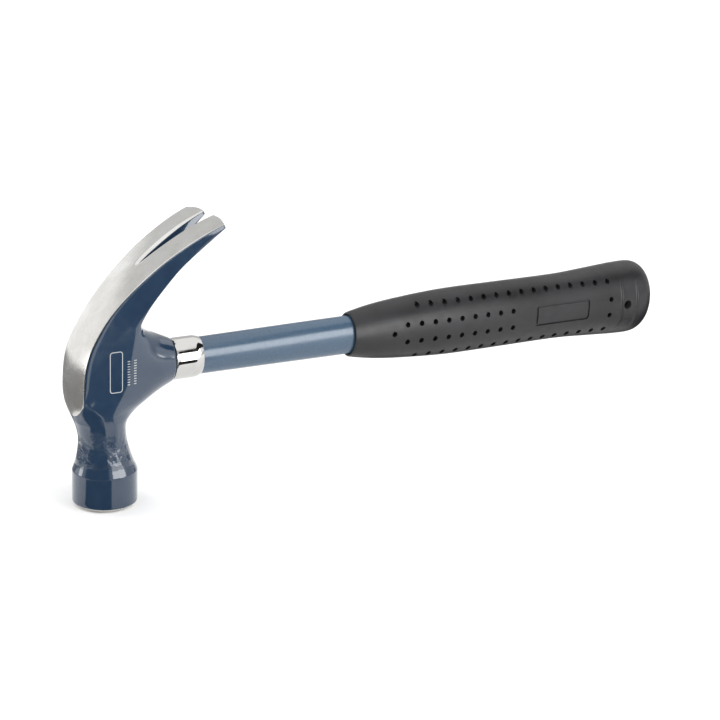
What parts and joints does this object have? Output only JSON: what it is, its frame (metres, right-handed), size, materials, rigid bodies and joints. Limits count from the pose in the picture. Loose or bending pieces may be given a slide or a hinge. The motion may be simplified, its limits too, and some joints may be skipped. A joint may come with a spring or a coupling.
{
  "type": "claw hammer",
  "caption": "Curved-claw hammer with a forged head on an oval steel tube, a plated ferrule at the eye and a perforated rubber grip with a hang hole.",
  "frame": {"origin": "centre of the striking face", "axes": "+Z from the striking face up to the claws, +X along the handle towards the butt, Y across the hammer's thickness"},
  "size_m": [0.3273, 0.0382, 0.1311],
  "materials": {
    "head_paint": "gloss blue enamel over forged steel",
    "bare_steel": "ground and polished forged steel",
    "tube_paint": "satin blue enamel",
    "ferrule_plate": "bright plated",
    "grip_rubber": "satin moulded rubber",
    "plug_steel": "turned",
    "plug_plastic": "moulded"
  },
  "bodies": {
    "root": {"head": "head_paint", "shaft_tube": "tube_paint", "ferrule": "ferrule_plate", "grip": "grip_rubber", "lock_plug": "plug_steel", "tail_plug": "plug_plastic"}
  },
  "joints": []
}
